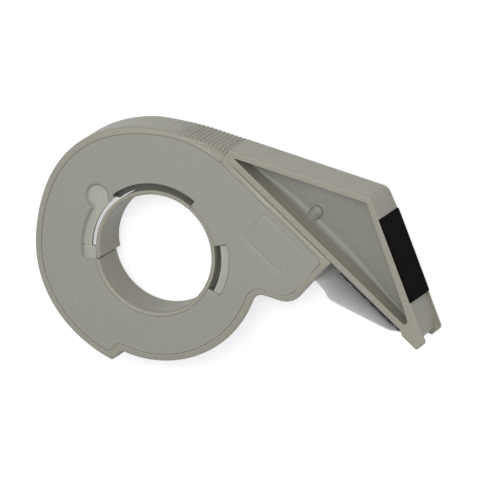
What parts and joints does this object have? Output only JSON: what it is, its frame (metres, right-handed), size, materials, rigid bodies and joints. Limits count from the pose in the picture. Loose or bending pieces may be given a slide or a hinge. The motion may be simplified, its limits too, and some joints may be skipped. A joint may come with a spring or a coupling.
{
  "type": "strapping tape dispenser",
  "caption": "Hand-held filament strapping tape dispenser: round side-loading drum with a sprung hub, hollow triangular handle, bowed guide spring, foam wipe-down pad and serrated cutter.",
  "frame": {"origin": "centre of the underside, the plane of the open loading side that it lies on", "axes": "+X from the drum toward the cutting tip, +Y toward the top of the drum and handle, +Z from the open side to the face plate"},
  "size_m": [0.2404, 0.1414, 0.031],
  "materials": {
    "housing": "fine satin texture",
    "housing_plate": "spark-eroded texture",
    "housing_hub": "satin",
    "housing_finger": "satin",
    "housing_handle": "satin",
    "housing_web": "satin",
    "blade_steel": "ground",
    "foot_steel": "zinc plated",
    "spring_steel": "zinc plated",
    "rivet_steel": "zinc plated",
    "foam": "open-cell foam",
    "adhesive": "adhesive layer",
    "strip_rubber": "matte"
  },
  "bodies": {
    "frame": {"drum_frame": "housing", "side_plate": "housing_plate", "hub_ring": "housing_hub", "handle_frame": "housing_handle", "handle_web": "housing_web", "cutter_blade": "blade_steel", "spring_foot": "foot_steel", "blade_rivet_1": "rivet_steel", "blade_rivet_2": "rivet_steel", "wiper_pad": "foam", "pad_backing": "adhesive", "stop_strip": "strip_rubber"},
    "finger": {"hub_finger": "housing_finger"},
    "spring": {"bow_spring": "spring_steel"}
  },
  "joints": [
    {"name": "finger_flex", "type": "hinge", "parent": "frame", "child": "finger", "pos_m": [-0.02139, 0.02298, 0.0183], "axis": [0, 0, 1], "range_deg": [0, 1.2], "stiffness_Nm_per_rad": 3},
    {"name": "spring_flex", "type": "hinge", "parent": "frame", "child": "spring", "pos_m": [0.10538, -0.04547, 0.0146], "axis": [0, 0, -1], "range_deg": [0, 8], "stiffness_Nm_per_rad": 1.5}
  ]
}
